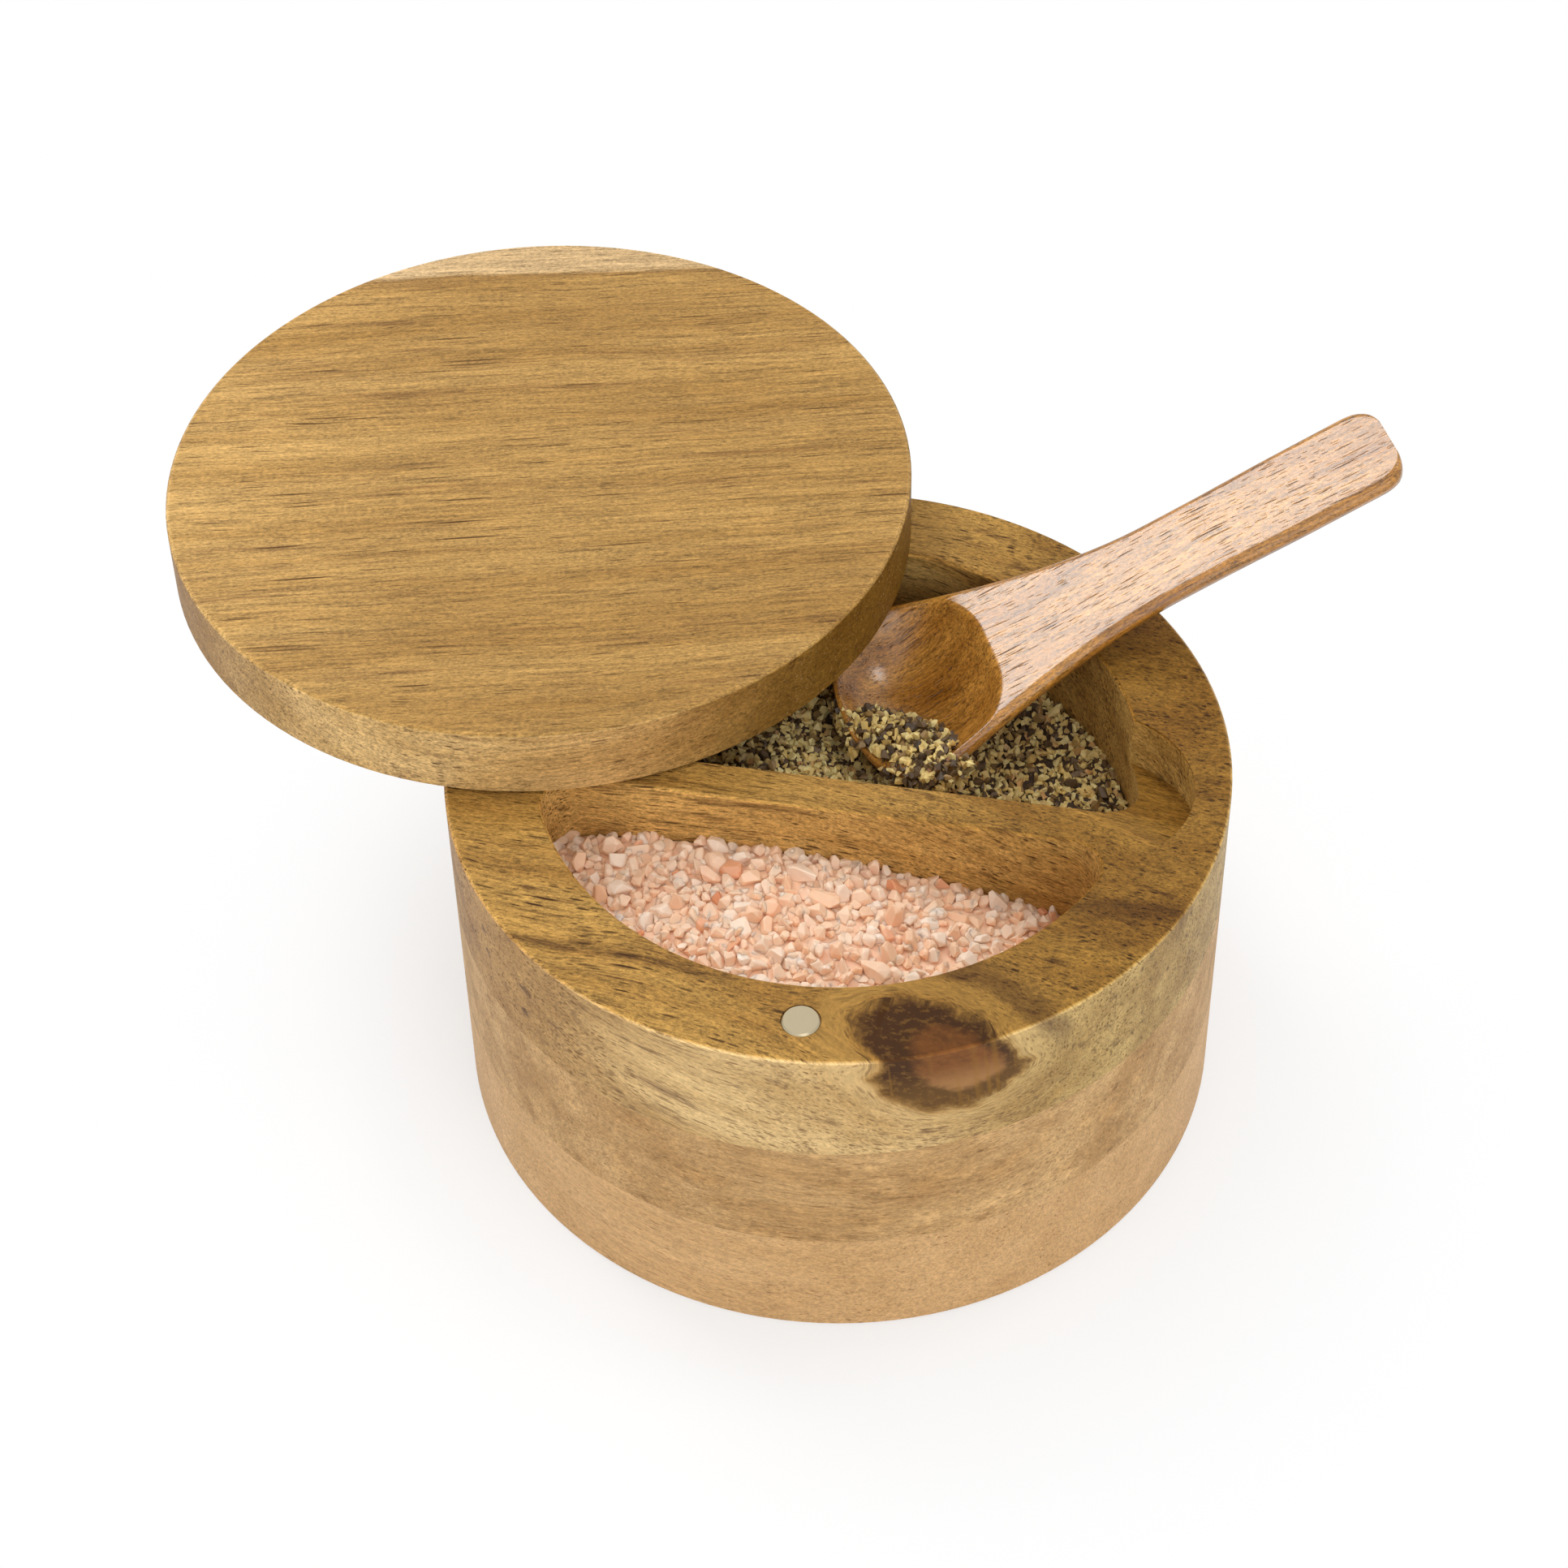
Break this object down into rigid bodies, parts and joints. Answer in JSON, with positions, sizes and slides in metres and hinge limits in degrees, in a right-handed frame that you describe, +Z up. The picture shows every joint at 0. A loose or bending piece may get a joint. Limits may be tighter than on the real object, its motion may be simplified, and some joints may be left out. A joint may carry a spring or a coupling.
{
  "type": "two-compartment salt cellar",
  "caption": "Round wooden salt cellar with a divider, a lid that swivels on a pin to a magnetic catch, a handle rest, and a wooden scoop spoon.",
  "frame": {"origin": "centre of the box's flat underside", "axes": "+Z up through the box, -Y to the catch magnet, +Y to the lid's pivot, +X to the side with the handle rest"},
  "size_m": [0.2083, 0.176, 0.0964],
  "materials": {
    "box_wood_bottom": "satin",
    "box_wood_middle": "satin",
    "box_wood_top": "satin",
    "lid_wood": "satin",
    "spoon_wood": "satin",
    "pin_steel": "satin",
    "magnet_plating": "satin",
    "coarse_salt": "matte",
    "cracked_pepper": "matte"
  },
  "bodies": {
    "base": {"bottom_board": "box_wood_bottom", "middle_board": "box_wood_middle", "top_board": "box_wood_top", "pivot_pin": "pin_steel", "box_magnet": "magnet_plating", "salt_fill": "coarse_salt", "pepper_fill": "cracked_pepper"},
    "lid": {"lid": "lid_wood", "lid_magnet": "magnet_plating"},
    "spoon": {"spoon": "spoon_wood", "pepper_scoop": "cracked_pepper"}
  },
  "joints": [
    {"name": "lid_swivel", "type": "hinge", "parent": "base", "child": "lid", "pos_m": [0, 0.0565, 0.0663], "axis": [0, 0, 1], "range_deg": [0, 82.4]},
    {"name": "spoon_draw", "type": "slide", "parent": "base", "child": "spoon", "axis": [0.8572, 0, 0.515], "range_m": [0, 0.16]}
  ],
  "couplings": [
    {"joint": "spoon_draw", "follows": "lid_swivel", "m_per_rad": 0.1112}
  ]
}
